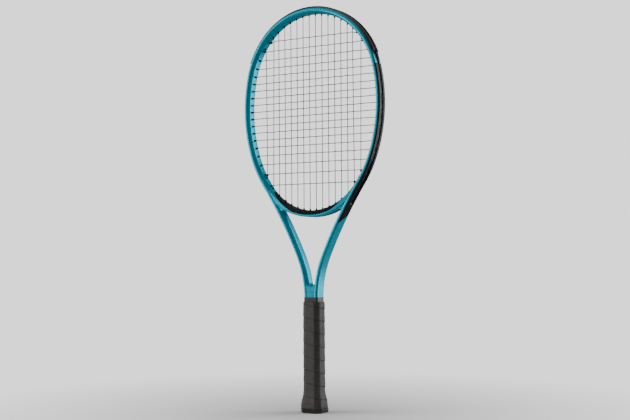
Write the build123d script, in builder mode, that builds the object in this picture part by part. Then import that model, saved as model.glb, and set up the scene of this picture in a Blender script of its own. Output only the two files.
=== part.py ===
"""Adult tennis racket, strung, standing on its butt cap.

The string plane is XZ, the front faces -Y and +Z runs from the butt to the tip of the head.
The origin is the centre of the butt's lowest face. All sizes are in millimetres and degrees.
"""

import os
from math import asin, ceil, cos, degrees, hypot, radians, sin, sqrt, tan

from build123d import *

os.makedirs("parts", exist_ok=True)

# Overall sizes
overall_length = 685.8
head_width = 269.2  # across the outer sides of the hoop
bed_length = 332.0  # clear length inside the hoop
beam = 23.0  # frame thickness, front to back
shaft_width = 26.7

# Outline of the head: each arc's radius in halves of the head's width, and its turn
rim_arcs = ((0.951, 48.7), (1.048, 28.1), (1.976, 31.0), (1.479, 16.6))
arm_radius = 779.0  # the arms curve the other way, gently, then into the shaft
flare_radius = 173.5

# Frame section
rim_depth = 9.4  # width of the frame seen from the front
frame_wall = 1.3
outer_bevel_run, outer_bevel_rise = 1.7, 2.1
inner_bevel_run, inner_bevel_rise = 3.1, 5.7
groove_width, groove_depth = 6.4, 3.0
bridge_radius = 105.0
bridge_depth = 11.5
bridge_sweep = 62.0  # half angle, past the arms, where it is trimmed
corner_gusset = 7.5
notch_height = 221.0  # where the throat's rounded bottom begins
web_trim = 1.0  # of the fill's two upper edges
tube_bottom = 10.0

# Strings
string_diameter = 1.3
string_gap = 0.06  # between a main and the cross that passes over it
main_pitch, outer_main_gap = 12.4, 14.0
mains_per_side = 8
cross_count = 19
first_cross_drop = 38.3  # from the inside of the hoop's tip to the first cross
cross_pitch = 12.04
tip_spread, throat_spread = 4.5, 7.2  # extra gap of the first and the last pair of crosses
tightest_row = 8
loop_inset = 0.8  # how far the outside loops lie below the frame's outer side
loop_offset = 0.75  # to the front or back, where the two strings' loops share the groove
loop_bend, lean_bend = 1.6, 4.0
entry_run = 3.6  # least distance from a crossed main to where a cross is on the string plane
straight_within = 0.15  # a hole that strays less than this from its main needs no bend
crown_drop = 0.12  # by how much the bend at a crown of the weave cuts its corner
steepest_weave = 50.0
bend_share = 0.35  # of the shorter run beside a bend, the most that the bend takes up
corner_main_lean, arm_main_lean = -5.3, 6.3  # sideways run of two mains inside the throat

# Grommet strips and bumper
strip_thickness = 1.2
barrel_radius, bore_radius = 1.6, 1.1
hole_radius = 1.7
hole_squareness = 0.75  # 1 drills square to the rim, 0 in line with the string
tip_shoulder, tip_length, tip_taper = 0.5, 2.4, 8.0
crowded_main, crowded_shift = 6, 2.2  # its upper hole and the first cross's are moved apart
outer_main_tuck = 1.6  # inward lean of the outer main's lower end, clear of a cross
hole_run_out = 4.0
groove_run_out, throat_strip_run_out = 3.0, 2.5
strip_end_gap = 0.4
bumper_proud = 2.6
ridge_slope, ridge_half, foot_thickness = 0.7, 7.6, 0.7
bumper_turn = 68.0  # the bumper ends where the hoop has turned this far
channel_width = 3.8
seat_gap = 0.05  # between pieces that sit on each other

# Handle
core_width, core_thickness = 31.1, 28.5
core_corner_x, core_corner_y = 5.7, 6.2
butt_width, butt_thickness = 38.8, 35.6
butt_corner = 7.4
grip_thickness = 1.5
handle_length = 186.8
pallet_top = 184.0
rim_height = 7.5  # height of the butt cap's bare rim
flare_low, flare_high = 11.0, 38.0
skirt_top = 34.0
cap_floor = 4.0
cap_round = 2.6
cap_recess_width, cap_recess_depth = 26.0, 0.8
door_width, door_height = 19.0, 15.0
door_flange, door_plate = 1.6, 1.3
door_clearance = 0.35
door_leg_height, door_leg_thickness, door_leg_chamfer = 3.6, 1.4, 0.6
tape_thickness, tape_top = 0.35, 195.0
foam_gap = 0.1
staple_wire, staple_crown, staple_leg = 0.7, 8.0, 3.2
staple_height, staple_offset = 30.0, 5.5
knot_radius, knot_length, knot_gap = 1.9, 3.4, 0.6

half_beam = beam / 2
strip_top = groove_depth - seat_gap - strip_thickness
pallet_bottom = cap_floor + seat_gap
tip_reach = tip_shoulder + tip_length
string_radius = string_diameter / 2


def build_rim():
    """Start point, heading, signed radius and turn of each arc of the right-hand rim."""
    arcs = [(share * head_width / 2, turn) for share, turn in rim_arcs]
    x, z, heading, rim = 0.0, overall_length - bumper_proud, 0.0, []
    for radius, turn in arcs:
        rim.append((x, z, heading, radius, turn))
        x, z, heading = arc_end(x, z, heading, radius, turn)
    # The last two arcs land upright on the shaft's side.
    lean = heading - 90
    reach = shaft_width / 2 - x + flare_radius - arm_radius * cos(radians(lean))
    flare_turn = 90 - degrees(asin(reach / (flare_radius - arm_radius)))
    for radius, turn in ((arm_radius, lean - flare_turn), (flare_radius, flare_turn)):
        rim.append((x, z, heading, -radius, -turn))
        x, z, heading = arc_end(x, z, heading, -radius, -turn)
    return rim, z


def arc_end(x, z, heading, radius, turn):
    start, end = radians(heading), radians(heading + turn)
    return (
        x + radius * (sin(end) - sin(start)),
        z + radius * (cos(end) - cos(start)),
        heading + turn,
    )


rim, shaft_top = build_rim()
arm_start, rim_end = len(rim_arcs), len(rim)


def rim_heading(station):
    n = min(int(station), rim_end - 1)
    return rim[n][2] + (station - n) * rim[n][4]


def rim_point(station, inset=0.0):
    """Point on the right-hand rim; station 2.5 is halfway along the third arc."""
    n = min(int(station), rim_end - 1)
    x, z, heading, radius, turn = rim[n]
    start, now = radians(heading), radians(rim_heading(station))
    return (
        x - radius * sin(start) + (radius - inset) * sin(now),
        z - radius * cos(start) + (radius - inset) * cos(now),
    )


def find_station(measure, target, low, high):
    """Station between low and high where a steady measure meets its target."""
    rising = measure(high) > measure(low)
    for _ in range(48):
        middle = (low + high) / 2
        if (measure(middle) < target) == rising:
            low = middle
        else:
            high = middle
    return (low + high) / 2


widest = find_station(rim_heading, 90, 0, arm_start)


def upper_station(x, inset=0.0):
    return find_station(lambda s: rim_point(s, inset)[0], x, 0, widest)


def upper_z(x, inset=0.0):
    return rim_point(upper_station(x, inset), inset)[1]


def lower_station(x, inset=0.0):
    return find_station(lambda s: rim_point(s, inset)[0], x, widest, rim_end)


def lower_z(x, inset=0.0):
    return rim_point(lower_station(x, inset), inset)[1]


def side_station(z, inset=0.0):
    return find_station(lambda s: rim_point(s, inset)[1], z, 0, rim_end)


def side_x(z, inset=0.0):
    return rim_point(side_station(z, inset), inset)[0]


bed_top = overall_length - bumper_proud - rim_depth
bridge_centre = bed_top - bed_length + bridge_radius


def bridge_z(x, radius):
    return bridge_centre - sqrt(radius**2 - x**2)


def profile(points, plane, wall=0.0):
    """Closed straight-sided face on a plane, hollow if it has a wall."""
    with BuildSketch(plane) as face:
        with BuildLine():
            Polyline(*points, close=True)
        make_face()
        if wall:
            offset(amount=-wall, kind=Kind.INTERSECTION, mode=Mode.SUBTRACT)
    return face.sketch


def mirrored(points):
    return points + [(x, -y) for x, y in reversed(points)]


def frame_outline(depth, grooved):
    """Section of the frame: x inwards from the outer side, y towards the back."""
    groove = [(groove_depth, groove_width / 2), (0, groove_width / 2)] if grooved else []
    return mirrored(
        groove
        + [
            (0, half_beam - outer_bevel_rise),
            (outer_bevel_run, half_beam),
            (depth - inner_bevel_run, half_beam),
            (depth, half_beam - inner_bevel_rise),
        ]
    )


def grooved_tube_section(plane):
    return profile(frame_outline(rim_depth, True), plane, frame_wall)


def plain_tube_section(plane):
    return profile(frame_outline(rim_depth, False), plane, frame_wall)


def plain_section(plane):
    return profile(frame_outline(rim_depth, False), plane)


def bridge_section(plane):
    return profile(frame_outline(bridge_depth, True), plane, frame_wall)


def strip_section(plane):
    half = groove_width / 2 - seat_gap
    return profile(mirrored([(strip_top, half), (groove_depth - seat_gap, half)]), plane)


def bumper_section(plane):
    """Guard with two ridges beside the string channel, its keel in the groove."""
    foot_x = outer_bevel_run / 2 - seat_gap
    foot_y = half_beam - outer_bevel_rise / 2 + seat_gap
    keel = groove_width / 2 - seat_gap
    points = [
        (strip_top, channel_width / 2),
        (-bumper_proud, channel_width / 2 + ridge_slope),
        (-bumper_proud, ridge_half),
        (-bumper_proud / 2, half_beam - outer_bevel_rise),
        (foot_x - foot_thickness, foot_y + foot_thickness / 2),
        (foot_x, foot_y),
        (-seat_gap, half_beam - outer_bevel_rise),
        (-seat_gap, keel),
        (groove_depth - seat_gap, keel),
    ]
    return profile(mirrored(points), plane)


def rim_plane(station):
    x, z = rim_point(station)
    turn = radians(rim_heading(station))
    return Plane(
        origin=(x, 0, z),
        x_dir=(-sin(turn), 0, -cos(turn)),
        z_dir=(cos(turn), 0, -sin(turn)),
    )


def along_rim(make_face_on, start, end):
    """Carry a section along the right-hand rim from one station to another."""
    for n in range(int(start), ceil(end)):
        first, last = max(start, n), min(end, n + 1)
        x, z, heading, radius, turn = rim[n]
        centre = (x - radius * sin(radians(heading)), 0, z - radius * cos(radians(heading)))
        revolve(
            make_face_on(rim_plane(first)),
            axis=Axis(centre, (0, 1 if turn > 0 else -1, 0)),
            revolution_arc=abs(turn) * (last - first),
        )


def along_bridge(make_face_on, lean_angle, turn):
    """Carry a section along the bridge from the right; x runs inwards from the throat side."""
    lean = radians(lean_angle)
    radius = bridge_radius + bridge_depth
    plane = Plane(
        origin=(radius * sin(lean), 0, bridge_centre - radius * cos(lean)),
        x_dir=(-sin(lean), 0, cos(lean)),
        z_dir=(-cos(lean), 0, -sin(lean)),
    )
    revolve(
        make_face_on(plane),
        axis=Axis((0, 0, bridge_centre), (0, 1, 0)),
        revolution_arc=turn,
    )


# String positions: mains from the centre outwards, crosses from the tip down
mains = [main_pitch * (n + 0.5) for n in range(mains_per_side - 1)]
mains.append(mains[-1] + outer_main_gap)

crosses = [bed_top - first_cross_drop]
for row in range(cross_count - 1):
    above = max(0, tightest_row - row) / tightest_row
    below = max(0, row - tightest_row) / (cross_count - 2 - tightest_row)
    gap = cross_pitch + tip_spread * above**3 + throat_spread * below**3
    crosses.append(crosses[-1] - gap)


def unit(dx, dz):
    length = hypot(dx, dz)
    return dx / length, dz / length


def rim_hole(station, string_x, string_z):
    """String hole: outer point, inner point, grommet tip and inward normal of the frame.

    It runs part of the way from square to the rim to in line with its string.
    """
    turn = radians(rim_heading(station))
    normal = (-sin(turn), -cos(turn))
    tip = rim_point(station, rim_depth + tip_reach)
    square, inline = hole_squareness, 1 - hole_squareness
    ux, uz = unit(
        square * normal[0] + inline * string_x,
        square * normal[1] + inline * string_z,
    )
    slant = ux * normal[0] + uz * normal[1]
    outer, inner = (
        (tip[0] - ux * reach / slant, tip[1] - uz * reach / slant)
        for reach in (rim_depth + tip_reach, tip_reach)
    )
    return outer, inner, tip, normal


def hole_between(outer, tip, normal):
    way_x, way_z = unit(tip[0] - outer[0], tip[1] - outer[1])
    inner = (tip[0] - way_x * tip_reach, tip[1] - way_z * tip_reach)
    return outer, inner, tip, normal


def bridge_tip(x):
    return x, bridge_z(x, bridge_radius - tip_reach)


def bridge_hole(x, lean):
    outer = (x + lean, bridge_z(x + lean, throat_radius))
    normal = unit(-outer[0], bridge_centre - outer[1])
    return hole_between(outer, bridge_tip(x), normal)


# String holes on the right-hand side
tip_inset = rim_depth + tip_reach
throat_radius = bridge_radius + bridge_depth
head_x = [x - crowded_shift * (n == crowded_main) for n, x in enumerate(mains)]
cross_z = [z - crowded_shift * (row == 0) for row, z in enumerate(crosses)]
arm_x = [mains[-2], mains[-1] - outer_main_tuck]
head_holes = [rim_hole(upper_station(x, tip_inset), 0, -1) for x in head_x]
cross_holes = [rim_hole(side_station(z, tip_inset), -1, 0) for z in cross_z]
arm_holes = [rim_hole(lower_station(x, tip_inset), 0, 1) for x in arm_x]
bridge_holes = [bridge_hole(x, 0) for x in mains[:-4]]
bridge_holes.append(bridge_hole(mains[-4], corner_main_lean))
# The third main from the outside passes through the bridge's end and the arm.
leaning_station = lower_station(mains[-3] + arm_main_lean)
leaning_outer = rim_point(leaning_station)
leaning_turn = radians(rim_heading(leaning_station))
leaning_hole = hole_between(
    leaning_outer, bridge_tip(mains[-3]), (-sin(leaning_turn), -cos(leaning_turn))
)
lower_holes = bridge_holes + [leaning_hole] + arm_holes
frame_holes = head_holes + cross_holes + arm_holes + [leaning_hole]


def hole_frame(hole):
    """Length of a string hole, its direction inwards and the cosine of its slant."""
    (x0, z0), (x1, z1), _, normal = hole
    ux, uz = unit(x1 - x0, z1 - z0)
    return hypot(x1 - x0, z1 - z0), ux, uz, ux * normal[0] + uz * normal[1]


def hole_plane(hole, along):
    """Plane across a string hole, its normal inwards, at a distance from the outer side."""
    _, ux, uz, _ = hole_frame(hole)
    x0, z0 = hole[0]
    return Plane(
        origin=(x0 + ux * along, 0, z0 + uz * along), x_dir=(0, 1, 0), z_dir=(ux, 0, uz)
    )


def disc(plane, radius):
    with BuildSketch(plane) as face:
        Circle(radius)
    return face.sketch


def drill(holes, radius, run_out):
    """Cut string holes through the part being built."""
    for hole in holes:
        reach = hole_frame(hole)[0] + 2 * run_out
        extrude(disc(hole_plane(hole, -run_out), radius), amount=reach, mode=Mode.SUBTRACT)


def add_barrels(holes):
    """Grommet barrels with tapered tips that stand proud inside the frame, bored through."""
    for hole in holes:
        length, _, _, slant = hole_frame(hole)
        start = (strip_top + barrel_radius * sqrt(1 - min(1.0, slant) ** 2)) / slant
        root = length + tip_shoulder
        extrude(disc(hole_plane(hole, start), barrel_radius), amount=root - start)
        extrude(disc(hole_plane(hole, root), barrel_radius), amount=tip_length, taper=tip_taper)
    drill(holes, bore_radius, hole_run_out)


# Filled outside of the frame tube, for trimming what is bonded to it
with BuildPart() as frame_envelope:
    along_rim(plain_section, 0, rim_end)
    extrude(plain_section(rim_plane(rim_end)), amount=shaft_top - pallet_bottom + 1)
    mirror(about=Plane.YZ)

# Frame tube: one hollow carbon tube, bent round the head and down both sides of the shaft.
# The string groove ends just below the lowest side grommet, at a bulkhead.
groove_end = lower_station(leaning_outer[0] - groove_run_out)
bulkhead = groove_end + degrees(frame_wall / arm_radius) / abs(rim[arm_start][4])
with BuildPart() as frame_tube:
    along_rim(grooved_tube_section, 0, groove_end)
    along_rim(plain_section, groove_end, bulkhead)
    along_rim(plain_tube_section, bulkhead, rim_end)
    extrude(plain_tube_section(rim_plane(rim_end)), amount=shaft_top - tube_bottom)
    drill(frame_holes, hole_radius, hole_run_out)
    mirror(about=Plane.YZ)
frame_tube.part.label = "frame_tube"
export_step(frame_tube.part, "parts/frame_tube.step")

# Throat bridge: a hollow curved beam between the arms, with a gusset in each corner
corner_station = find_station(
    lambda s: hypot(rim_point(s, rim_depth)[0], rim_point(s, rim_depth)[1] - bridge_centre),
    throat_radius,
    arm_start,
    rim_end,
)
corner_x, corner_z = rim_point(corner_station, rim_depth)
corner_lean = radians(rim_heading(corner_station))
bridge_lean = asin(corner_x / throat_radius)
gusset = [
    (corner_x - corner_gusset * cos(bridge_lean), corner_z - corner_gusset * sin(bridge_lean)),
    (corner_x + corner_gusset * cos(corner_lean), corner_z - corner_gusset * sin(corner_lean)),
    (corner_x + rim_depth / 2, corner_z),
    (corner_x, corner_z + bridge_depth / 2),
]
with BuildPart() as bridge_blank:
    along_bridge(bridge_section, bridge_sweep, 2 * bridge_sweep)
    with BuildSketch(Plane.XZ) as corner:
        with BuildLine():
            Polyline(*gusset, close=True)
        make_face()
        mirror(about=Plane.YZ)
    extrude(amount=half_beam - outer_bevel_rise, both=True)
    drill(lower_holes + cross_holes[-2:], hole_radius, hole_run_out)
    mirror(about=Plane.YZ, mode=Mode.INTERSECT)
    add(frame_envelope.part, mode=Mode.SUBTRACT)
# What is cut off beyond the arms is dropped.
with BuildPart() as throat_bridge:
    add(bridge_blank.part.solids().sort_by(SortBy.VOLUME)[-1])
throat_bridge.part.label = "throat_bridge"
export_step(throat_bridge.part, "parts/throat_bridge.step")

# Shaft web: the fill between the two legs, with the throat's rounded and bevelled bottom
notch_radius = side_x(notch_height, rim_depth)
web_half = shaft_width / 2 - rim_depth / 2
web_top = notch_height - web_trim
bevel_start = half_beam - inner_bevel_rise
with BuildPart() as right_leg:
    along_rim(plain_section, rim_end - 1, rim_end)
    extrude(plain_section(rim_plane(rim_end)), amount=shaft_top - pallet_bottom)
with BuildPart() as shaft_web:
    with BuildSketch(Plane.XZ) as web_face:
        with BuildLine():
            Polyline(
                (0, tube_bottom), (web_half, tube_bottom), (web_half, web_top), (0, web_top), close=True
            )
        make_face()
        with Locations((0, notch_height)):
            Circle(notch_radius, mode=Mode.SUBTRACT)
    extrude(amount=half_beam, both=True)
    with BuildSketch(Plane.XY.offset(notch_height)) as notch_bevel:
        with BuildLine():
            Polyline(
                (0, bevel_start),
                (notch_radius, bevel_start),
                (notch_radius + inner_bevel_run, half_beam),
                (0, half_beam),
                close=True,
            )
        make_face()
        mirror(about=Plane.XZ)
    revolve(axis=Axis((0, 0, notch_height), (0, 1, 0)), mode=Mode.SUBTRACT)
    add(right_leg.part, mode=Mode.SUBTRACT)
    mirror(about=Plane.YZ)
shaft_web.part.label = "shaft_web"
export_step(shaft_web.part, "parts/shaft_web.step")

# Bumper guard: the guard over the tip of the hoop, one piece with the head's grommets
bumper_end = find_station(rim_heading, bumper_turn, 0, widest)
strip_gap = degrees(strip_end_gap / rim[1][3]) / rim[1][4]
bumper_crosses = [hole for hole in cross_holes if side_station(hole[0][1]) < bumper_end]
with BuildPart() as bumper_guard:
    along_rim(bumper_section, 0, bumper_end)
    add_barrels(head_holes + bumper_crosses)
    mirror(about=Plane.YZ)
bumper_guard.part.label = "bumper_guard"
export_step(bumper_guard.part, "parts/bumper_guard.step")

# Side grommet strips
side_strip_holes = cross_holes[len(bumper_crosses):] + arm_holes + [leaning_hole]
with BuildPart() as side_grommets_right:
    along_rim(strip_section, bumper_end + strip_gap, groove_end - strip_gap)
    add_barrels(side_strip_holes)
side_grommets_right.part.label = "side_grommets_right"
export_step(side_grommets_right.part, "parts/side_grommets_right.step")
with BuildPart() as side_grommets_left:
    mirror(side_grommets_right.part, about=Plane.YZ)
side_grommets_left.part.label = "side_grommets_left"
export_step(side_grommets_left.part, "parts/side_grommets_left.step")

# Throat grommet strip, on the throat side of the bridge
throat_strip_x = mains[-4] + corner_main_lean + throat_strip_run_out
throat_strip_lean = degrees(asin(throat_strip_x / throat_radius))
with BuildPart() as throat_grommets:
    along_bridge(strip_section, throat_strip_lean, throat_strip_lean)
    add_barrels(bridge_holes)
    mirror(about=Plane.YZ)
throat_grommets.part.label = "throat_grommets"
export_step(throat_grommets.part, "parts/throat_grommets.step")


def loop_corner(hole):
    """Where the string turns from a hole into the groove outside."""
    _, ux, uz, slant = hole_frame(hole)
    return hole[0][0] + ux * loop_inset / slant, hole[0][1] + uz * loop_inset / slant


def string_solid(points, radii):
    """Round string along straight runs joined by tangent arcs."""
    with BuildPart() as string:
        with BuildLine() as route:
            FilletPolyline(*points, radius=radii)
        with BuildSketch(Plane(origin=route.line @ 0, z_dir=route.line % 0)) as end:
            Circle(string_radius)
        sweep(end.sketch, path=route.line)
    return string.part


# Main string: up and down the head, looped outside the frame from each main to the next
main_points, main_radii = [], []
main_order = [(-1, n) for n in reversed(range(mains_per_side))]
main_order += [(1, n) for n in range(mains_per_side)]
for order, (side, n) in enumerate(main_order):
    outermost = n == mains_per_side - 1
    low_end = lower_holes[n][1] if outermost else loop_corner(lower_holes[n])
    high_y = -loop_offset if n >= crowded_main else 0
    run = [(low_end[0], 0, low_end[1], loop_bend)]
    for hole in (lower_holes[n], head_holes[n]):
        tip_x, tip_z = hole[2]
        if abs(hole[0][0] - tip_x) > straight_within:
            run.append((tip_x, 0, tip_z, lean_bend))
    high_x, high_z = loop_corner(head_holes[n])
    run.append((high_x, high_y, high_z, loop_bend))
    if order % 2:
        run.reverse()
    main_points += [(side * x, y, z) for x, y, z, _ in run]
    main_radii += [radius for *_, radius in run]
with BuildPart() as main_string:
    add(string_solid(main_points, main_radii[1:-1]))
main_string.part.label = "main_string"
export_step(main_string.part, "parts/main_string.step")


def main_x(n, z):
    """Where a main is at a height, on its way between two grommet tips."""
    (low_x, low_z), (high_x, high_z) = lower_holes[n][2], head_holes[n][2]
    return low_x + (high_x - low_x) * (z - low_z) / (high_z - low_z)


# Cross string: from side to side, over one main and under the next
weave_rise = string_diameter + string_gap + crown_drop
cross_points = []
for row, hole in enumerate(cross_holes):
    (corner_x, corner_z), (tip_x, tip_z) = loop_corner(hole), hole[2]
    z = crosses[row]
    crossed = [main_x(n, z) for n in range(mains_per_side)]
    crossed = [x for x in crossed if x < tip_x - string_diameter]
    crossed = [-x for x in reversed(crossed)] + crossed
    entry_x = max(tip_x, crossed[-1] + entry_run)
    corner_y = loop_offset if row < 2 else 0
    run = [(-corner_x, 0, corner_z), (-entry_x, 0, tip_z)]
    for n, x in enumerate(crossed):
        over = 1 if (row + n + len(mains) - len(crossed) // 2) % 2 else -1
        run.append((x, over * weave_rise, z))
    run += [(entry_x, 0, tip_z), (corner_x, corner_y, corner_z)]
    # The string's two ends stop inside their grommets.
    inner_x, inner_z = hole[1]
    if row == 0:
        run[0] = (-inner_x, 0, inner_z)
    if row == cross_count - 1:
        run[-1] = (inner_x, 0, inner_z)
    cross_points += reversed(run) if row % 2 else run


def crown_radius(before, here, after):
    """Bend radius that cuts every crown of the weave by the same amount."""
    run_in, run_out = Vector(*here) - Vector(*before), Vector(*after) - Vector(*here)
    turn = run_in.get_angle(run_out)
    if turn > steepest_weave:
        return loop_bend
    longest_arc = bend_share * min(run_in.length, run_out.length) / tan(radians(turn) / 2)
    return min(longest_arc, crown_drop / (1 / cos(radians(turn) / 2) - 1))


triples = zip(cross_points, cross_points[1:], cross_points[2:])
with BuildPart() as cross_string:
    add(string_solid(cross_points, [crown_radius(*triple) for triple in triples]))
cross_string.part.label = "cross_string"
export_step(cross_string.part, "parts/cross_string.step")

# Tie-off knots: each string's two ends, wound round the string beside a grommet
main_knot, first_knot, last_knot = lower_holes[-1][2], cross_holes[0][2], cross_holes[-1][2]
knots = [((side * main_knot[0], main_knot[1] + knot_gap), (0, 0, 1)) for side in (-1, 1)]
knots.append(((knot_gap - first_knot[0], first_knot[1]), (1, 0, 0)))
knots.append(((last_knot[0] - knot_gap, last_knot[1]), (-1, 0, 0)))
with BuildPart() as tie_off_knots:
    for (x, z), direction in knots:
        with BuildSketch(Plane(origin=(x, 0, z), x_dir=(0, 1, 0), z_dir=direction)):
            Circle(knot_radius)
            Circle(string_radius + seat_gap, mode=Mode.SUBTRACT)
        extrude(amount=knot_length)
tie_off_knots.part.label = "tie_off_knots"
export_step(tie_off_knots.part, "parts/tie_off_knots.step")


def octagon_points(width, thickness, corner_x, corner_y):
    """Corners of a rectangle with a bevel at each corner."""
    x, y = width / 2, thickness / 2
    right = mirrored([(x - corner_x, y), (x, y - corner_y)])
    return right + [(-a, b) for a, b in reversed(right)]


def core_section(height, growth=0.0):
    return grown_octagon((core_width, core_thickness, core_corner_x, core_corner_y), height, growth)


def butt_section(height, growth=0.0):
    return grown_octagon((butt_width, butt_thickness, butt_corner, butt_corner), height, growth)


def grown_octagon(sizes, height, growth):
    with BuildSketch(Plane.XY.offset(height)) as section:
        with BuildLine():
            Polyline(*octagon_points(*sizes), close=True)
        make_face()
        if growth:
            offset(amount=growth, kind=Kind.INTERSECTION)
    return section.sketch


def handle_body(growth, start, top, mode=Mode.ADD):
    """Outside of the handle: a flared butt, then eight straight sides."""
    extrude(butt_section(start, growth), amount=flare_low - start, mode=mode)
    loft(
        [*butt_section(flare_low, growth).faces(), *core_section(flare_high, growth).faces()],
        ruled=True,
        mode=mode,
    )
    extrude(core_section(flare_high, growth), amount=top - flare_high, mode=mode)


def shaft_section(height, growth=0.0):
    """Outline round both legs of the shaft and the web between them."""
    bevel_x, bevel_y = outer_bevel_run, outer_bevel_rise
    return grown_octagon((shaft_width, beam, bevel_x, bevel_y), height, growth)


# Pallets: two shells round the shaft that give the handle its eight sides
for name, side in (("pallet_front", -1), ("pallet_back", 1)):
    with BuildPart() as pallet:
        extrude(core_section(pallet_bottom), amount=pallet_top - pallet_bottom)
        extrude(
            shaft_section(pallet_bottom, seat_gap),
            amount=pallet_top - pallet_bottom,
            mode=Mode.SUBTRACT,
        )
        add(frame_envelope.part, mode=Mode.SUBTRACT)
        split(bisect_by=Plane.XZ, keep=Keep.BOTTOM if side > 0 else Keep.TOP)
    pallet.part.label = name
    export_step(pallet.part, f"parts/{name}.step")

# Handle foam: fills the two tube ends inside the handle
with BuildPart() as handle_foam:
    x_outer, end = shaft_width / 2, tube_bottom + foam_gap
    foam_plane = Plane(origin=(x_outer, 0, end), x_dir=(-1, 0, 0), z_dir=(0, 0, 1))
    with BuildSketch(foam_plane) as foam_face:
        with BuildLine():
            Polyline(*frame_outline(rim_depth, False), close=True)
        make_face()
        offset(amount=-frame_wall - foam_gap, kind=Kind.INTERSECTION)
    extrude(amount=pallet_top - end)
    mirror(about=Plane.YZ)
handle_foam.part.label = "handle_foam"
export_step(handle_foam.part, "parts/handle_foam.step")

# Butt cap: bare rounded rim, flared skirt over the pallets, floor with the door's opening
plug_width, plug_height = door_width - 2 * door_flange, door_height - 2 * door_flange
with BuildPart() as butt_cap:
    handle_body(0, rim_height - cap_round, flare_high + 1)
    split(bisect_by=Plane.XY.offset(skirt_top), keep=Keep.BOTTOM)
    extrude(butt_section(0, grip_thickness), amount=rim_height)
    fillet(butt_cap.edges().group_by(Axis.Z)[0], radius=cap_round)
    extrude(core_section(cap_floor, seat_gap), amount=skirt_top, mode=Mode.SUBTRACT)
    with BuildSketch(Plane.XY) as recess:
        RectangleRounded(cap_recess_width, cap_recess_width - 3, 6)
    extrude(amount=cap_recess_depth, mode=Mode.SUBTRACT)
    with BuildSketch(Plane.XY) as flange_pocket:
        Rectangle(door_width, door_height)
    extrude(amount=cap_recess_depth + door_plate + door_clearance, mode=Mode.SUBTRACT)
    with BuildSketch(Plane.XY) as plug_hole:
        Rectangle(plug_width, plug_height)
    extrude(amount=cap_floor, mode=Mode.SUBTRACT)
butt_cap.part.label = "butt_cap"
export_step(butt_cap.part, "parts/butt_cap.step")

# Trap door: a flanged plate with a plug and two spring legs, pulled out of the floor downwards
with BuildPart() as trap_door:
    with BuildSketch(Plane.XY.offset(cap_recess_depth)) as plate:
        Rectangle(door_width - 2 * door_clearance, door_height - 2 * door_clearance)
    extrude(amount=door_plate)
    with BuildSketch(Plane.XY.offset(cap_recess_depth + door_plate)) as plug:
        Rectangle(plug_width - 2 * door_clearance, plug_height - 2 * door_clearance)
    extrude(amount=cap_floor - cap_recess_depth - door_plate)
    with BuildSketch(Plane.XY.offset(cap_floor)) as legs:
        with GridLocations(plug_width - 2 * door_clearance - door_leg_thickness, 0, 2, 1):
            Rectangle(door_leg_thickness, plug_height / 2)
    extrude(amount=door_leg_height)
    chamfer(trap_door.edges().group_by(Axis.Z)[-1].filter_by(Axis.Y), length=door_leg_chamfer)
trap_door.part.label = "trap_door"
export_step(trap_door.part, "parts/trap_door.step")

# Butt cap staples: four wire staples through the skirt into the pallets
with BuildPart() as butt_cap_staples:
    skirt_share = (flare_high - staple_height) / (flare_high - flare_low)
    skirt_y = (core_thickness + skirt_share * (butt_thickness - core_thickness)) / 2
    skirt_y -= staple_wire / 2
    for x in (-staple_offset, staple_offset):
        with BuildSketch(Plane.XY.offset(staple_height)) as wire:
            with Locations((x, skirt_y - staple_leg / 2)):
                Rectangle(staple_crown / 2, staple_leg)
            with Locations((x, skirt_y - staple_leg / 2 - staple_wire)):
                Rectangle(staple_crown / 2 - 2 * staple_wire, staple_leg, mode=Mode.SUBTRACT)
        extrude(amount=staple_wire)
    mirror(about=Plane.XZ)
butt_cap_staples.part.label = "butt_cap_staples"
export_step(butt_cap_staples.part, "parts/butt_cap_staples.step")

# Base grip: the wound strip as one sleeve over the pallets and the cap's skirt
with BuildPart() as base_grip:
    handle_body(grip_thickness, rim_height + seat_gap, handle_length)
    handle_body(seat_gap, rim_height - 1, handle_length + 1, mode=Mode.SUBTRACT)
base_grip.part.label = "base_grip"
export_step(base_grip.part, "parts/base_grip.step")

# Finishing tape: closes the top of the grip and holds to the shaft
with BuildPart() as finishing_tape:
    tape_bottom = pallet_top + seat_gap
    extrude(core_section(tape_bottom), amount=handle_length - tape_bottom)
    extrude(shaft_section(handle_length, tape_thickness), amount=tape_top - handle_length)
    extrude(
        shaft_section(tape_bottom, seat_gap), amount=tape_top - tape_bottom, mode=Mode.SUBTRACT
    )
    add(frame_envelope.part, mode=Mode.SUBTRACT)
finishing_tape.part.label = "finishing_tape"
export_step(finishing_tape.part, "parts/finishing_tape.step")
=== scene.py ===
import math
import bmesh
import bpy
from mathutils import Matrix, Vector


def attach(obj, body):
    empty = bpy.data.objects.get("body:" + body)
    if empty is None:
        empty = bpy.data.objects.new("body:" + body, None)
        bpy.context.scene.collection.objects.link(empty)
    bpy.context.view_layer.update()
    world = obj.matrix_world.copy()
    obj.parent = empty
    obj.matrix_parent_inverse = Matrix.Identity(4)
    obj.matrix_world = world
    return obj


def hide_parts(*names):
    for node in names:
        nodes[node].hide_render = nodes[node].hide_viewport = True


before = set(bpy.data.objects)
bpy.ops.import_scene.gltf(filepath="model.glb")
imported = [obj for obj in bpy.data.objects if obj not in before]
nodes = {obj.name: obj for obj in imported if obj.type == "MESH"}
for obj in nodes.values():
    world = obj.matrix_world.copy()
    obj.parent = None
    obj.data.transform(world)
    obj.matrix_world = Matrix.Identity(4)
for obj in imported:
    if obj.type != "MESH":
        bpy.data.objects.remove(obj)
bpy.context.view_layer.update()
millimetre = 0.001
racketBody, doorBody = "racket", "door"
weldGap = 2e-6  # metres; closer corners of a CAD shape become one


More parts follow.
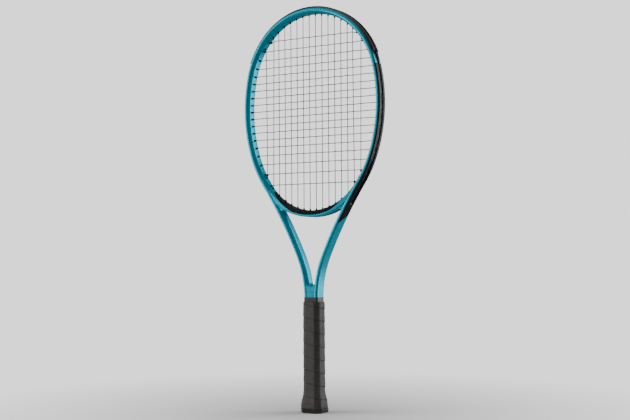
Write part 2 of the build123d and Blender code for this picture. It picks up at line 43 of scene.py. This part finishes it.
# ---- material tools
def newMaterial(name, color, roughness, metallic=0.0, coat=0.0):
    material = bpy.data.materials.new(name)
    material.use_nodes = True
    shader = material.node_tree.nodes["Principled BSDF"]
    shader.inputs["Base Color"].default_value = (*color, 1)
    shader.inputs["Roughness"].default_value = roughness
    shader.inputs["Metallic"].default_value = metallic
    shader.inputs["Coat Weight"].default_value = coat
    shader.inputs["Coat Roughness"].default_value = 0.06
    return material, material.node_tree, shader


def addNode(tree, kind, inputs=None, **settings):
    node = tree.nodes.new(kind)
    for key, value in settings.items():
        setattr(node, key, value)
    for key, value in (inputs or {}).items():
        if isinstance(value, bpy.types.NodeSocket):
            tree.links.new(value, node.inputs[key])
        else:
            node.inputs[key].default_value = value
    return node


def mathNode(tree, operation, first, second=0.0):
    return addNode(tree, "ShaderNodeMath", {0: first, 1: second}, operation=operation).outputs[0]


def mixColor(tree, factor, first, second):
    mix = addNode(tree, "ShaderNodeMix", data_type="RGBA")
    for key, value in ((0, factor), (6, first), (7, second)):
        if isinstance(value, bpy.types.NodeSocket):
            tree.links.new(value, mix.inputs[key])
        else:
            mix.inputs[key].default_value = (*value, 1) if key else value
    return mix.outputs[2]


def noise(tree, scale, detail=2.0, stretch=(1, 1, 1)):
    place = addNode(tree, "ShaderNodeTexCoord").outputs["Object"]
    mapped = addNode(tree, "ShaderNodeMapping", {"Vector": place, "Scale": stretch}).outputs[0]
    cloud = addNode(tree, "ShaderNodeTexNoise", {"Vector": mapped, "Scale": scale, "Detail": detail})
    return cloud.outputs[0]


def ramp(tree, value, low, high, toLow=0.0, toHigh=1.0):
    spread = addNode(tree, "ShaderNodeMapRange", {0: value, 1: low, 2: high, 3: toLow, 4: toHigh})
    return spread.outputs[0]


def addBump(tree, shader, height, strength, distance):
    bump = addNode(tree, "ShaderNodeBump", {"Height": height, "Strength": strength, "Distance": distance})
    tree.links.new(bump.outputs[0], shader.inputs["Normal"])


# The lacquer: colours linear, panel and band sizes in millimetres
paintLook = {"teal": (0.000, 0.400, 0.540), "shadowTeal": (0.000, 0.320, 0.450),
             "flake": (0.000, 0.520, 0.680), "black": (0.006, 0.007, 0.009),
             "gloss": 0.14, "roughness": 0.38, "metallic": 0.45, "coat": 0.02,
             "flakeScale": 2600.0, "flakeShare": 0.2, "driftScale": 18.0, "driftShare": 0.3,
             "smearScale": 55.0, "smearRoughness": (0.24, 0.36), "peelScale": 900.0, "peelStrength": 0.05,
             "peelDepth": 0.0001, "panelTop": 579.5, "panelEdge": 12.5, "panelNeck": 4.0, "neckMost": 9.4,
             "panelWiden": 0.30, "bridgeCentre": 446.8, "bandRadius": 112.8, "bandFrom": 38.0,
             "bandTaper": 0.2}


# Teal lacquer with metal flake, and black where blackPart says
def makePaint(name, blackPart):
    look = paintLook
    material, tree, shader = newMaterial(name, look["teal"], look["roughness"], look["metallic"],
                                         look["coat"])
    flake = ramp(tree, noise(tree, look["flakeScale"], 1.0), 0.35, 0.75)
    drift = ramp(tree, noise(tree, look["driftScale"], 2.0), 0.35, 0.65)
    driftMix = mathNode(tree, "MULTIPLY", drift, look["driftShare"])
    flakeMix = mathNode(tree, "MULTIPLY", flake, look["flakeShare"])
    teal = mixColor(tree, driftMix, look["teal"], look["shadowTeal"])
    teal = mixColor(tree, flakeMix, teal, look["flake"])
    color = mixColor(tree, blackPart(tree), teal, look["black"])
    tree.links.new(color, shader.inputs["Base Color"])
    smear = ramp(tree, noise(tree, look["smearScale"], 4.0), 0.3, 0.7, *look["smearRoughness"])
    tree.links.new(smear, shader.inputs["Roughness"])
    shader.inputs["Specular IOR Level"].default_value = look["gloss"]
    addBump(tree, shader, noise(tree, look["peelScale"], 2.0), look["peelStrength"], look["peelDepth"])
    return material


def objectPlace(tree):
    place = addNode(tree, "ShaderNodeTexCoord").outputs["Object"]
    return addNode(tree, "ShaderNodeSeparateXYZ", {0: place}).outputs


def distance(tree, first, second):
    squares = [mathNode(tree, "MULTIPLY", side, side) for side in (first, second)]
    return mathNode(tree, "SQRT", mathNode(tree, "ADD", *squares))


# Full width below the square cut, and a neck that widens upwards to the guard above it
def sidePanel(tree):
    rim = addNode(tree, "ShaderNodeAttribute", attribute_name="rimPlace").outputs["Fac"]
    reach = addNode(tree, "ShaderNodeAttribute", attribute_name="panelReach").outputs["Fac"]
    height = mathNode(tree, "DIVIDE", objectPlace(tree)[2], millimetre)
    above = mathNode(tree, "SUBTRACT", height, paintLook["panelTop"])
    widening = mathNode(tree, "MULTIPLY", above, paintLook["panelWiden"])
    neck = mathNode(tree, "ADD", widening, paintLook["panelNeck"])
    neck = mathNode(tree, "MINIMUM", neck, paintLook["neckMost"])
    isAbove = mathNode(tree, "GREATER_THAN", above, 0.0)
    inNeck = mathNode(tree, "MULTIPLY", isAbove, mathNode(tree, "LESS_THAN", rim, neck))
    isBelow = mathNode(tree, "MULTIPLY", mathNode(tree, "SUBTRACT", 1.0, isAbove),
                       mathNode(tree, "LESS_THAN", rim, paintLook["panelEdge"]))
    aboveLowEnd = mathNode(tree, "GREATER_THAN", reach, 0.0)
    return mathNode(tree, "MULTIPLY", mathNode(tree, "ADD", inNeck, isBelow), aboveLowEnd)


# The band's outer radius shrinks towards the arms
def bridgeBand(tree):
    x, _, z = objectPlace(tree)
    x = mathNode(tree, "DIVIDE", x, millimetre)
    z = mathNode(tree, "SUBTRACT", mathNode(tree, "DIVIDE", z, millimetre), paintLook["bridgeCentre"])
    radius = distance(tree, x, z)
    aside = mathNode(tree, "SUBTRACT", mathNode(tree, "ABSOLUTE", x), paintLook["bandFrom"])
    taper = mathNode(tree, "MULTIPLY", mathNode(tree, "MAXIMUM", aside, 0.0), paintLook["bandTaper"])
    edge = mathNode(tree, "SUBTRACT", paintLook["bandRadius"], taper)
    return mathNode(tree, "LESS_THAN", radius, edge)


def noPanel(tree):
    return 0.0


# Moulded nylon: fine grain, paler along scuffs
def makeMoulding(name, color, roughness, grain, scuff):
    material, tree, shader = newMaterial(name, color, roughness)
    scuffed = ramp(tree, noise(tree, 130.0, 6.0, (1, 1, 0.35)), 0.56, 0.74)
    pale = tuple(min(1.0, c * 2.2 + 0.02) for c in color)
    tree.links.new(mixColor(tree, mathNode(tree, "MULTIPLY", scuffed, scuff), color, pale),
                   shader.inputs["Base Color"])
    tree.links.new(ramp(tree, noise(tree, 260.0, 3.0), 0.3, 0.7, roughness - 0.08, roughness + 0.1),
                   shader.inputs["Roughness"])
    addBump(tree, shader, noise(tree, grain, 2.0), 0.22, 0.0002)
    return material


# The wrap's colours, linear, with a near-black painted shade for the seam grooves, and its pebbles
wrapLook = {"base": (0.040, 0.036, 0.034), "pale": (0.058, 0.052, 0.049), "dark": (0.036, 0.033, 0.031),
            "seamShade": (0.004, 0.004, 0.004), "seamShadeShare": 0.7, "mottleScale": 90.0, "mottleShare": 0.5,
            "roughness": 0.62, "rubScale": 200.0, "rubRoughness": (0.5, 0.68), "gloss": 0.4,
            "pebbleScale": 1500.0, "pebbleStrength": 0.35, "pebbleDepth": 0.00025}


# Cushioned wrap: pebbled skin, painted shade darkening the seam grooves, with rubbed patches
def makeWrap(name):
    look = wrapLook
    material, tree, shader = newMaterial(name, look["base"], look["roughness"])
    seamShade = addNode(tree, "ShaderNodeAttribute", attribute_name="seamPlace").outputs["Fac"]
    place = addNode(tree, "ShaderNodeTexCoord").outputs["Object"]
    pebble = addNode(tree, "ShaderNodeTexVoronoi", {"Vector": place, "Scale": look["pebbleScale"]}).outputs[0]
    mottled = ramp(tree, noise(tree, look["mottleScale"], 5.0), 0.35, 0.7)
    mottleMix = mathNode(tree, "MULTIPLY", mottled, look["mottleShare"])
    color = mixColor(tree, mottleMix, look["pale"], look["dark"])
    # Painted shade: the colour darkens towards near-black in the seam grooves, where the wrap overlaps
    color = mixColor(tree, ramp(tree, seamShade, 0.0, 1.0, 0.0, look["seamShadeShare"]), color, look["seamShade"])
    tree.links.new(color, shader.inputs["Base Color"])
    rubbed = ramp(tree, noise(tree, look["rubScale"], 3.0), 0.3, 0.7, *look["rubRoughness"])
    tree.links.new(rubbed, shader.inputs["Roughness"])
    addBump(tree, shader, pebble, look["pebbleStrength"], look["pebbleDepth"])
    shader.inputs["Specular IOR Level"].default_value = look["gloss"]
    return material


paint = makePaint("tealPanelPaint", sidePanel)
bridgePaint = makePaint("tealBandPaint", bridgeBand)
plainPaint = makePaint("tealPaint", noPanel)
# Colour, roughness, size of the grain, strength of the scuffs
finishes = {"blackNylon": ((0.007, 0.007, 0.008), 0.42, 1500.0, 0.35),
            "capPlastic": ((0.003, 0.003, 0.003), 0.18, 2200.0, 0.1),
            "stringPlastic": ((0.004, 0.004, 0.004), 0.30, 3000.0, 0.2),
            "palletFoam": ((0.42, 0.37, 0.28), 0.75, 1400.0, 0.3),
            "stapleSteel": ((0.48, 0.48, 0.47), 0.3, 3000.0, 0.2),
            "finishingTape": ((0.016, 0.016, 0.017), 0.36, 1800.0, 0.35)}
made = {name: makeMoulding(name, *finish) for name, finish in finishes.items()}
nylon, capPlastic, stringPlastic = made["blackNylon"], made["capPlastic"], made["stringPlastic"]
foam, steel, tapePlastic = made["palletFoam"], made["stapleSteel"], made["finishingTape"]
wrap = makeWrap("gripWrap")
print("materials made")


# ---- mesh tools
def placeMesh(name, mesh, material, body, replaced=()):
    piece = bpy.data.objects.new(name, mesh)
    bpy.context.scene.collection.objects.link(piece)
    mesh.materials.clear()
    mesh.materials.append(material)
    if replaced:
        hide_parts(*replaced)
    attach(piece, body)
    return piece


def smoothByAngle(mesh, angle):
    work = bmesh.new()
    work.from_mesh(mesh)
    for face in work.faces:
        face.smooth = True
    for edge in work.edges:
        edge.smooth = len(edge.link_faces) == 2 and edge.calc_face_angle(0.0) < math.radians(angle)
    work.to_mesh(mesh)
    work.free()


# A CAD node's shape with its triangles merged and its curved faces shaded smooth
def dressNode(nodeName, pieceName, material, body, angle=28.0):
    mesh = nodes[nodeName].data.copy()
    mesh.name = pieceName
    work = bmesh.new()
    work.from_mesh(mesh)
    bmesh.ops.remove_doubles(work, verts=work.verts, dist=weldGap)
    work.to_mesh(mesh)
    work.free()
    if "custom_normal" in mesh.attributes:
        mesh.attributes.remove(mesh.attributes["custom_normal"])
    smoothByAngle(mesh, angle)
    return placeMesh(pieceName, mesh, material, body, (nodeName,))


def gridMesh(name, rings):
    count = len(rings[0])
    verts = [point for ring in rings for point in ring]
    faces = []
    for row in range(len(rings) - 1):
        for col in range(count):
            a, b = row * count + col, row * count + (col + 1) % count
            faces.append((a, b, b + count, a + count))
    faces.append(tuple(reversed(range(count))))
    faces.append(tuple(range((len(rings) - 1) * count, len(rings) * count)))
    mesh = bpy.data.meshes.new(name)
    mesh.from_pydata(verts, [], faces)
    work = bmesh.new()
    work.from_mesh(mesh)
    bmesh.ops.recalc_face_normals(work, faces=work.faces)
    work.to_mesh(mesh)
    work.free()
    return mesh


def setAttribute(mesh, name, values):
    mesh.attributes.new(name, "FLOAT", "POINT").data.foreach_set("value", values)


# Rounds each corner of a closed outline with an arc of its own radius
def roundCorners(corners, radii, steps):
    outline = []
    for n, corner in enumerate(corners):
        here = Vector(corner)
        back, ahead = Vector(corners[n - 1]) - here, Vector(corners[(n + 1) % len(corners)]) - here
        cut = min(radii[n], 0.45 * back.length, 0.45 * ahead.length)
        start, end = here + back.normalized() * cut, here + ahead.normalized() * cut
        for k in range(steps + 1):
            t = k / steps
            outline.append(tuple(start * (1 - t) ** 2 + here * 2 * t * (1 - t) + end * t ** 2))
    return outline


# ---- frame tube: its section carried along the outline of the head, arms and shaft, in millimetres
frameShape = {"topZ": 683.2, "halfWidth": 134.6,
              "arcs": ((0.951, 48.7), (1.048, 28.1), (1.976, 31.0), (1.479, 16.6)),
              "armRadius": 779.0, "flareRadius": 173.5, "shaftHalf": 13.35, "depth": 9.4, "halfBeam": 11.5,
              "outerBevel": (1.7, 2.1), "innerBevel": (3.1, 5.7), "groove": (3.0, 3.2), "grooveEndZ": 350.0,
              "grooveFade": 3.0, "edgeRadii": (1.1, 1.1, 2.2, 1.6), "edgeSteps": 5, "footZ": 150.0,
              "degreesPerRing": 1.0, "ringLength": 2.2, "straightRing": 6.0, "smoothAngle": 40.0,
              "panelLow": 318.5, "panelSlant": 16.0, "turnsInward": 9.0, "paintedInset": 0.3,
              "innerSide": 4.0, "pastPanel": 30.0}


def rimStations():
    shape = frameShape
    arcs = [(share * shape["halfWidth"], turn) for share, turn in shape["arcs"]]
    heading = sum(turn for _, turn in arcs)
    x, z = endOfArcs(arcs, shape["topZ"])
    lean = heading - 90
    armRun = shape["armRadius"] * math.cos(math.radians(lean))
    reach = shape["shaftHalf"] - x + shape["flareRadius"] - armRun
    flareTurn = 90 - math.degrees(math.asin(reach / (shape["flareRadius"] - shape["armRadius"])))
    arcs += [(-shape["armRadius"], -(lean - flareTurn)), (-shape["flareRadius"], -flareTurn)]
    stations, x, z, heading = [], 0.0, shape["topZ"], 0.0
    for radius, turn in arcs:
        steps = max(2, math.ceil(abs(turn) / shape["degreesPerRing"]),
                    math.ceil(abs(math.radians(turn) * radius) / shape["ringLength"]))
        centreX = x - radius * math.sin(math.radians(heading))
        centreZ = z - radius * math.cos(math.radians(heading))
        for k in range(steps):
            now = math.radians(heading + turn * k / steps)
            stations.append((centreX + radius * math.sin(now), centreZ + radius * math.cos(now), now))
        heading += turn
        x = centreX + radius * math.sin(math.radians(heading))
        z = centreZ + radius * math.cos(math.radians(heading))
    straight = math.ceil((z - shape["footZ"]) / shape["straightRing"])
    for k in range(straight + 1):
        stations.append((x, z - (z - shape["footZ"]) * k / straight, math.pi / 2))
    return stations


def endOfArcs(arcs, top):
    x, z, heading = 0.0, top, 0.0
    for radius, turn in arcs:
        start, end = math.radians(heading), math.radians(heading + turn)
        x += radius * (math.sin(end) - math.sin(start))
        z += radius * (math.cos(end) - math.cos(start))
        heading += turn
    return x, z


def frameSection(grooveShare):
    shape = frameShape
    half, depth = shape["halfBeam"], shape["depth"]
    grooveDeep = max(0.03, shape["groove"][0] * grooveShare)
    upper = [(grooveDeep, shape["groove"][1] - 0.25 * (1 - grooveShare)), (0, shape["groove"][1]),
             (0, half - shape["outerBevel"][1]), (shape["outerBevel"][0], half),
             (depth - shape["innerBevel"][0], half), (depth, half - shape["innerBevel"][1])]
    radii = [0.3 * grooveShare + 0.02, 0.5 * grooveShare + 0.02, *shape["edgeRadii"]]
    corners = upper + [(x, -y) for x, y in reversed(upper)]
    return roundCorners(corners, radii + radii[::-1], shape["edgeSteps"])


def buildFrameShell():
    shape = frameShape
    right = rimStations()
    left = [(-x, z, -turn) for x, z, turn in reversed(right[1:])]
    rings, rimPlace, panelReach = [], [], []
    for x, z, turn in left + right:
        share = min(1.0, max(0.0, (z - shape["grooveEndZ"]) / shape["grooveFade"]))
        ring = []
        for inset, y in frameSection(share):
            px, pz = x - inset * math.sin(turn), z - inset * math.cos(turn)
            ring.append((px * millimetre, y * millimetre, pz * millimetre))
            if abs(y) > shape["turnsInward"]:
                rimPlace.append(abs(y) + max(0.0, inset - shape["paintedInset"]))
            else:
                rimPlace.append(abs(y) + (shape["pastPanel"] if inset > shape["innerSide"] else 0))
            side = 1 if x >= 0 else -1
            across = (side * y + shape["halfBeam"]) / (2 * shape["halfBeam"])
            lowEnd = shape["panelLow"] + shape["panelSlant"] * across
            panelReach.append(pz - lowEnd)
        rings.append(ring)
    mesh = gridMesh("frameShell", rings)
    setAttribute(mesh, "rimPlace", rimPlace)
    setAttribute(mesh, "panelReach", panelReach)
    smoothByAngle(mesh, shape["smoothAngle"])
    return placeMesh("frameShell", mesh, paint, racketBody, ("frame_tube",))


buildFrameShell()
dressNode("throat_bridge", "throatBridge", bridgePaint, racketBody)
dressNode("shaft_web", "shaftWeb", plainPaint, racketBody)
print("frame made")

# ---- guard, grommets and strings
dressNode("bumper_guard", "bumperGuard", nylon, racketBody)
dressNode("side_grommets_right", "sideGrommetsRight", nylon, racketBody)
dressNode("side_grommets_left", "sideGrommetsLeft", nylon, racketBody)
dressNode("throat_grommets", "throatGrommets", nylon, racketBody)
roundAngle = 50.0  # degrees; smooths round the strings, knots and grip
dressNode("main_string", "mainString", stringPlastic, racketBody, roundAngle)
dressNode("cross_string", "crossString", stringPlastic, racketBody, roundAngle)
print("guard and strings made")

# ---- tie-off knots: each string end wound round its neighbour, in millimetres
knotShape = {"Wire Radius": 0.55, "Winding Radius": 1.35, "Winding Length": 2.25, "Turns": 2.0,
             "steps": 20, "sides": 10, "weldGap": 1e-7}


# Middle and axis of each knot in the CAD piece
def knotPlaces():
    work = bmesh.new()
    work.from_mesh(nodes["tie_off_knots"].data)
    bmesh.ops.remove_doubles(work, verts=work.verts, dist=weldGap)
    seen, places = set(), []
    for first in work.verts:
        if first in seen:
            continue
        seen.add(first)
        front, island = [first], []
        while front:
            vert = front.pop()
            island.append(vert.co.copy())
            for edge in vert.link_edges:
                other = edge.other_vert(vert)
                if other not in seen:
                    seen.add(other)
                    front.append(other)
        low = [min(point[i] for point in island) for i in range(3)]
        high = [max(point[i] for point in island) for i in range(3)]
        alongX = high[0] - low[0] < high[2] - low[2]
        middle = [(a + b) / 2 for a, b in zip(low, high)]
        places.append((middle, (1, 0, 0) if alongX else (0, 0, 1)))
    work.free()
    return places


def knotTree(material):
    tree = bpy.data.node_groups.new("windKnots", "GeometryNodeTree")
    tree.interface.new_socket("Geometry", in_out="INPUT", socket_type="NodeSocketGeometry")
    tree.interface.new_socket("Geometry", in_out="OUTPUT", socket_type="NodeSocketGeometry")
    for label in ("Wire Radius", "Winding Radius", "Winding Length", "Turns"):
        tree.interface.new_socket(label, in_out="INPUT", socket_type="NodeSocketFloat")
    given = addNode(tree, "NodeGroupInput").outputs
    radius = given["Winding Radius"]
    coil = addNode(tree, "GeometryNodeCurveSpiral",
                   {"Resolution": knotShape["steps"], "Rotations": given["Turns"], "Start Radius": radius,
                    "End Radius": radius, "Height": given["Winding Length"]}).outputs[0]
    halfLength = mathNode(tree, "MULTIPLY", given["Winding Length"], -0.5)
    lower = addNode(tree, "ShaderNodeCombineXYZ", {"Z": halfLength}).outputs[0]
    centred = addNode(tree, "GeometryNodeTransform", {"Geometry": coil, "Translation": lower}).outputs[0]
    wire = addNode(tree, "GeometryNodeCurvePrimitiveCircle",
                   {"Resolution": knotShape["sides"], "Radius": given["Wire Radius"]}).outputs[0]
    winding = addNode(tree, "GeometryNodeCurveToMesh",
                      {"Curve": centred, "Profile Curve": wire, "Fill Caps": True}).outputs[0]
    axis = addNode(tree, "GeometryNodeInputNamedAttribute", {"Name": "knotAxis"},
                   data_type="FLOAT_VECTOR").outputs[0]
    turned = addNode(tree, "FunctionNodeAlignRotationToVector", {"Vector": axis}, axis="Z").outputs[0]
    placed = addNode(tree, "GeometryNodeInstanceOnPoints",
                     {"Points": given["Geometry"], "Instance": winding, "Rotation": turned}).outputs[0]
    whole = addNode(tree, "GeometryNodeRealizeInstances", {"Geometry": placed}).outputs[0]
    painted = addNode(tree, "GeometryNodeSetMaterial", {"Geometry": whole, "Material": material}).outputs[0]
    addNode(tree, "NodeGroupOutput", {"Geometry": painted})
    return tree


def buildKnots():
    places = knotPlaces()
    points = bpy.data.meshes.new("knotPoints")
    points.from_pydata([middle for middle, _ in places], [], [])
    axes = points.attributes.new("knotAxis", "FLOAT_VECTOR", "POINT")
    axes.data.foreach_set("vector", [value for _, axis in places for value in axis])
    source = bpy.data.objects.new("knotPoints", points)
    bpy.context.scene.collection.objects.link(source)
    modifier = source.modifiers.new("windKnots", "NODES")
    tree = modifier.node_group = knotTree(stringPlastic)
    for item in tree.interface.items_tree:
        if item.in_out == "INPUT" and item.name in knotShape:
            scale = 1.0 if item.name == "Turns" else millimetre
            modifier[item.identifier] = knotShape[item.name] * scale
    evaluated = source.evaluated_get(bpy.context.evaluated_depsgraph_get())
    mesh = bpy.data.meshes.new_from_object(evaluated)
    bpy.data.objects.remove(source)
    work = bmesh.new()
    work.from_mesh(mesh)
    bmesh.ops.remove_doubles(work, verts=work.verts, dist=knotShape["weldGap"])
    bmesh.ops.recalc_face_normals(work, faces=work.faces)
    work.to_mesh(mesh)
    work.free()
    mesh.name = "tieOffKnots"
    smoothByAngle(mesh, roundAngle)
    placeMesh("tieOffKnots", mesh, stringPlastic, racketBody, ("tie_off_knots",))


buildKnots()
print("knots made")

# ---- handle
dressNode("pallet_front", "palletFront", foam, racketBody)
dressNode("pallet_back", "palletBack", foam, racketBody)
dressNode("handle_foam", "handleFoam", foam, racketBody)
dressNode("butt_cap", "buttCap", capPlastic, racketBody)
dressNode("trap_door", "trapDoor", capPlastic, doorBody)
dressNode("butt_cap_staples", "capStaples", steel, racketBody)
dressNode("finishing_tape", "finishingTape", tapePlastic, racketBody)


# The wound grip, in millimetres: core and butt are width, thickness and the corners' two runs
gripShape = {"core": (31.1, 28.5, 5.7, 6.2), "butt": (38.8, 35.6, 7.4, 7.4), "low": 7.55, "high": 186.8,
             "flareLow": 11.0, "flareHigh": 38.0, "thickness": 1.5, "cornerGrowth": 0.6, "cornerRadius": 2.4,
             "cornerSteps": 4, "pitch": 22.0, "seamStep": 0.55, "seamWidth": 1.3, "seamSpread": 0.45,
             "seamDepth": 0.35, "endRings": 4, "endDepth": 0.5, "rings": 300, "around": 128}


def octagon(width, thickness, cornerX, cornerY):
    x, y = width / 2, thickness / 2
    return [(x, -y + cornerY), (x, y - cornerY), (x - cornerX, y), (-x + cornerX, y),
            (-x, y - cornerY), (-x, -y + cornerY), (-x + cornerX, -y), (x - cornerX, -y)]


# Distance from the axis to an outline, at an angle
def outlineReach(outline, angle):
    ux, uy = math.cos(angle), math.sin(angle)
    best = 0.0
    for (x0, y0), (x1, y1) in zip(outline, outline[1:] + outline[:1]):
        ex, ey = x1 - x0, y1 - y0
        cross = ux * ey - uy * ex
        if abs(cross) > 1e-9:
            reach, along = (x0 * ey - y0 * ex) / cross, (x0 * uy - y0 * ux) / cross
            if reach > 0 and -1e-6 <= along <= 1 + 1e-6:
                best = max(best, reach)
    return best


def gripReach(height):
    shape = gripShape
    t = (height - shape["flareLow"]) / (shape["flareHigh"] - shape["flareLow"])
    t = min(1.0, max(0.0, t))
    t = t * t * (3 - 2 * t)
    width, thickness, cornerX, cornerY = (b + (c - b) * t for b, c in zip(shape["butt"], shape["core"]))
    grow = shape["thickness"]
    cornerGrow = grow * shape["cornerGrowth"]
    corners = octagon(width + 2 * grow, thickness + 2 * grow, cornerX + cornerGrow, cornerY + cornerGrow)
    outline = roundCorners(corners, [shape["cornerRadius"]] * len(corners), shape["cornerSteps"])
    return [outlineReach(outline, 2 * math.pi * k / shape["around"]) for k in range(shape["around"])]


def buildGrip():
    shape = gripShape
    rings, seamPlace = [], []
    for row in range(shape["rings"] + 1):
        z = shape["low"] + (shape["high"] - shape["low"]) * row / shape["rings"]
        ring = []
        for col, reach in enumerate(gripReach(z)):
            angle = 2 * math.pi * col / shape["around"]
            turn = ((z + shape["pitch"] * angle / (2 * math.pi)) / shape["pitch"]) % 1.0
            fromSeam = min(turn, 1 - turn) * shape["pitch"]
            groove = math.exp(-(fromSeam / (shape["seamSpread"] * shape["seamWidth"])) ** 2)
            drop = shape["seamStep"] * turn + shape["seamDepth"] * groove
            edge = min(1.0, (row + 0.5) / shape["endRings"], (shape["rings"] - row + 0.5) / shape["endRings"])
            drop += shape["endDepth"] * (1 - edge) ** 2
            r = reach - drop
            ring.append((r * math.cos(angle) * millimetre, r * math.sin(angle) * millimetre, z * millimetre))
            seamPlace.append(groove)
        rings.append(ring)
    mesh = gridMesh("wrappedGrip", rings)
    setAttribute(mesh, "seamPlace", seamPlace)
    smoothByAngle(mesh, roundAngle)
    grip = placeMesh("wrappedGrip", mesh, wrap, racketBody, ("base_grip",))


buildGrip()
print("handle made")

# ---- floor, light and camera, in metres and degrees
lightLook = {"sidePower": 26.0, "sideDistance": 1.7, "sideHeight": 0.6, "sideSize": (1.2, 1.8),
             "topPower": 6.0, "topDistance": 1.9, "topSize": (1.5, 1.5), "aimHeight": 0.36,
             "surround": 0.17, "backdrop": 1.6,
             "floorSolid": 0.05, "floorEdge": 0.7}
viewLook = {"azimuth": 32.0, "distance": 2.00713, "sideways": 0.002246, "height": 0.26301, "roll": 0.34,
            "sensor": 36.0, "lens": 67.749714, "shiftY": 0.074492}
floorMaterial, floorTree, floorShader = newMaterial("paleFloor", (0.92, 0.92, 0.92), 0.8)
floorTone = mixColor(floorTree, noise(floorTree, 3.0), (0.93, 0.93, 0.93), (0.91, 0.91, 0.91))
floorTree.links.new(floorTone, floorShader.inputs["Base Color"])
floorX, floorY, _ = objectPlace(floorTree)
fromMiddle = distance(floorTree, floorX, floorY)
floorFade = ramp(floorTree, fromMiddle, lightLook["floorSolid"], lightLook["floorEdge"], 1.0, 0.0)
floorTree.links.new(floorFade, floorShader.inputs["Alpha"])
floorSize = lightLook["floorEdge"]
floorMesh = bpy.data.meshes.new("floor")
floorCorners = [(x * floorSize, y * floorSize, 0) for x, y in ((-1, -1), (1, -1), (1, 1), (-1, 1))]
floorMesh.from_pydata(floorCorners, [], [(0, 1, 2, 3)])
floorMesh.materials.append(floorMaterial)
floor = bpy.data.objects.new("floor", floorMesh)
bpy.context.scene.collection.objects.link(floor)

azimuth = math.radians(viewLook["azimuth"])
toCamera = Vector((math.sin(azimuth), -math.cos(azimuth), 0))
toRight = Vector((math.cos(azimuth), math.sin(azimuth), 0))


def addLight(name, direction, distance, height, size, power):
    data = bpy.data.lights.new(name, "AREA")
    data.shape = "RECTANGLE"
    data.size, data.size_y = size
    data.energy = power
    lamp = bpy.data.objects.new(name, data)
    lamp.location = direction * distance + Vector((0, 0, height))
    aim = Vector((0, 0, lightLook["aimHeight"])) - lamp.location
    lamp.rotation_euler = aim.to_track_quat("-Z", "Y").to_euler()
    bpy.context.scene.collection.objects.link(lamp)


# The right light stands a little behind the racket, so the bevels beside the front stay dark
leftWay = (-toRight * 1.0 + toCamera * 0.02).normalized()
rightWay = (toRight * 1.0 - toCamera * 0.20).normalized()
for lightName, way in (("leftLight", leftWay), ("rightLight", rightWay)):
    addLight(lightName, way, lightLook["sideDistance"], lightLook["sideHeight"], lightLook["sideSize"],
             lightLook["sidePower"])
addLight("topLight", Vector((0, 0, 1)), lightLook["topDistance"], 0.0, lightLook["topSize"],
         lightLook["topPower"])

world = bpy.data.worlds.new("studio")
world.use_nodes = True
surround = world.node_tree.nodes["Background"]
surround.inputs[1].default_value = lightLook["surround"]
surround.inputs[0].default_value = (1, 1, 1, 1)
backdrop = addNode(world.node_tree, "ShaderNodeBackground", {0: (1, 1, 1, 1), 1: lightLook["backdrop"]})
seenDirectly = addNode(world.node_tree, "ShaderNodeLightPath").outputs["Is Camera Ray"]
both = addNode(world.node_tree, "ShaderNodeMixShader",
               {0: seenDirectly, 1: surround.outputs[0], 2: backdrop.outputs[0]})
world.node_tree.links.new(both.outputs[0], world.node_tree.nodes["World Output"].inputs[0])
bpy.context.scene.world = world

cameraData = bpy.data.cameras.new("camera")
cameraData.sensor_width = viewLook["sensor"]
cameraData.lens = viewLook["lens"]
cameraData.shift_y = viewLook["shiftY"]
camera = bpy.data.objects.new("camera", cameraData)
camera.location = toRight * viewLook["sideways"] + toCamera * viewLook["distance"]
camera.location.z = viewLook["height"]
camera.rotation_euler = (math.radians(90), math.radians(viewLook["roll"]), azimuth)
bpy.context.scene.collection.objects.link(camera)
bpy.context.scene.camera = camera
print("stage made")
